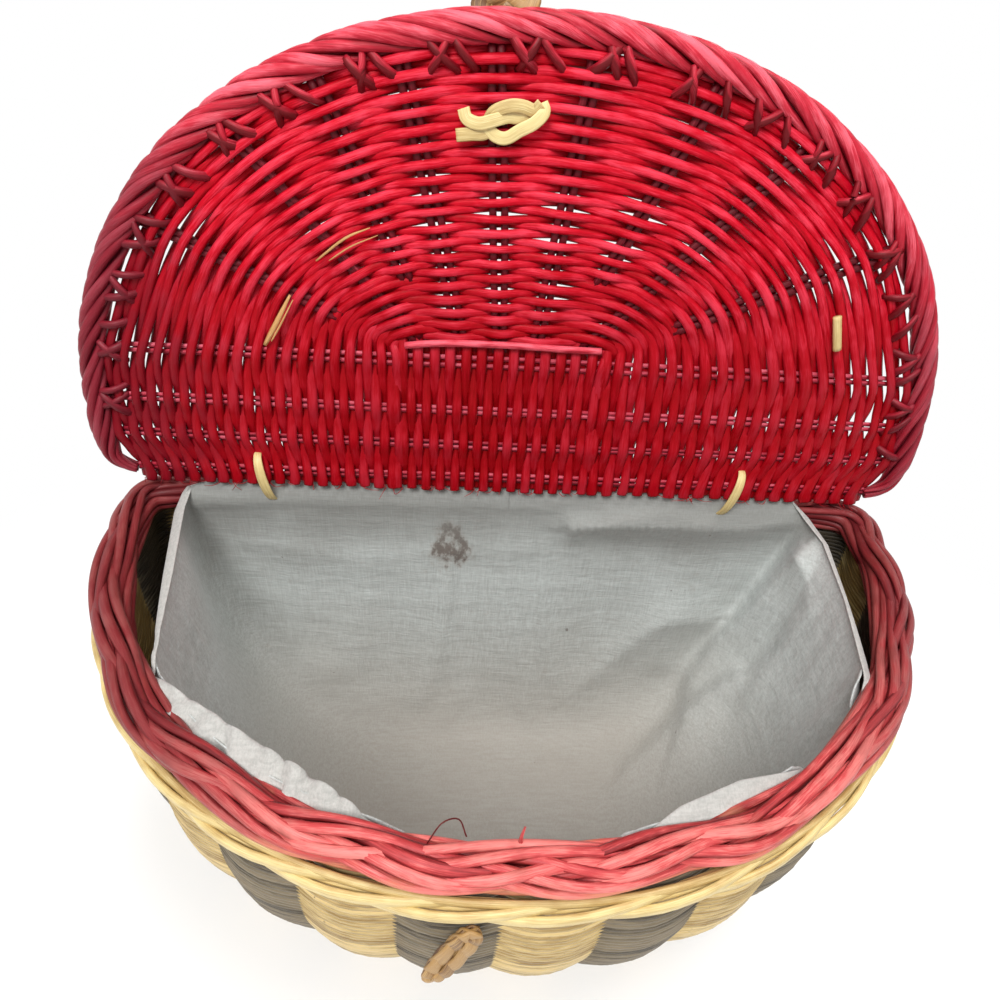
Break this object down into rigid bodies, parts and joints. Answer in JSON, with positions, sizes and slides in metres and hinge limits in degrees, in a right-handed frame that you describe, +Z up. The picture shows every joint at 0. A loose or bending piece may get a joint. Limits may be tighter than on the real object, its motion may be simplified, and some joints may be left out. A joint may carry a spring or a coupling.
{
  "type": "picnic basket",
  "caption": "Half-moon wicker picnic basket with a flat woven lid on cane loops, a braided hasp and front loop, and a loose cotton lining.",
  "frame": {"origin": "centre of the flat base underside, on the surface the basket stands on", "axes": "+Z up, the round front faces -Y, the lid hinges along X at the flat back"},
  "size_m": [0.4365, 0.26, 0.4779],
  "materials": {
    "rose_willow": "dyed rod, satin",
    "red_willow": "dyed rod, glossy",
    "pale_cane": "bare cane, satin",
    "tan_braid": "flat braided fibre",
    "cotton_lining": "plain woven cotton",
    "brown_stake": "bare rod, dull",
    "striped_weave": "straw and grey-brown stripes"
  },
  "bodies": {
    "basket": {"rim_border": "rose_willow", "waling_band": "pale_cane", "side_weave": "striped_weave", "side_stake_1": "brown_stake", "side_stake_2": "brown_stake", "side_stake_3": "brown_stake", "side_stake_4": "brown_stake", "side_stake_5": "brown_stake", "side_stake_6": "brown_stake", "side_stake_7": "brown_stake", "side_stake_8": "brown_stake", "side_stake_9": "brown_stake", "side_stake_10": "brown_stake", "side_stake_11": "brown_stake", "side_stake_12": "brown_stake", "side_stake_13": "brown_stake", "side_stake_14": "brown_stake", "side_stake_15": "brown_stake", "side_stake_16": "brown_stake", "side_stake_17": "brown_stake", "side_stake_18": "brown_stake", "side_stake_19": "brown_stake", "side_stake_20": "brown_stake", "side_stake_21": "brown_stake", "side_stake_22": "brown_stake", "side_stake_23": "brown_stake", "side_stake_24": "brown_stake", "side_stake_25": "brown_stake", "side_stake_26": "brown_stake", "foot_border": "striped_weave", "base_weave": "striped_weave", "base_stick_1": "brown_stake", "base_stick_2": "brown_stake", "base_stick_3": "brown_stake", "base_stick_4": "brown_stake", "lining": "cotton_lining", "hinge_loop_left": "pale_cane", "hinge_loop_right": "pale_cane"},
    "lid": {"lid_weave": "red_willow", "lid_border": "rose_willow", "lid_cross_stick_1": "red_willow", "lid_cross_stick_2": "red_willow", "lid_cross_stick_3": "red_willow", "lid_cross_stick_4": "red_willow", "lid_rib_1": "red_willow", "lid_rib_2": "red_willow", "lid_rib_3": "red_willow", "lid_rib_4": "red_willow", "lid_rib_5": "red_willow", "lid_rib_6": "red_willow", "lid_rib_7": "red_willow", "lid_rib_8": "red_willow", "lid_rib_9": "red_willow", "lid_bar": "red_willow", "lid_knot": "pale_cane", "hasp_strap": "tan_braid"},
    "hasp": {"hasp_loop": "tan_braid"},
    "front_loop": {"front_loop": "tan_braid"}
  },
  "joints": [
    {"name": "lid_hinge", "type": "hinge", "parent": "basket", "child": "lid", "pos_m": [0, 0.0825, 0.2014], "axis": [1, 0, 0], "range_deg": [0, 97], "deforming": ["hinge_loop_left", "hinge_loop_right"]},
    {"name": "hasp_fold", "type": "hinge", "parent": "lid", "child": "hasp", "pos_m": [-0.017, 0.1169, 0.41923], "axis": [1, 0, 0], "range_deg": [0, 70]},
    {"name": "front_loop_swing", "type": "hinge", "parent": "basket", "child": "front_loop", "pos_m": [-0.017, -0.12915, 0.1647], "axis": [1, 0, 0], "range_deg": [-100, 0]}
  ]
}
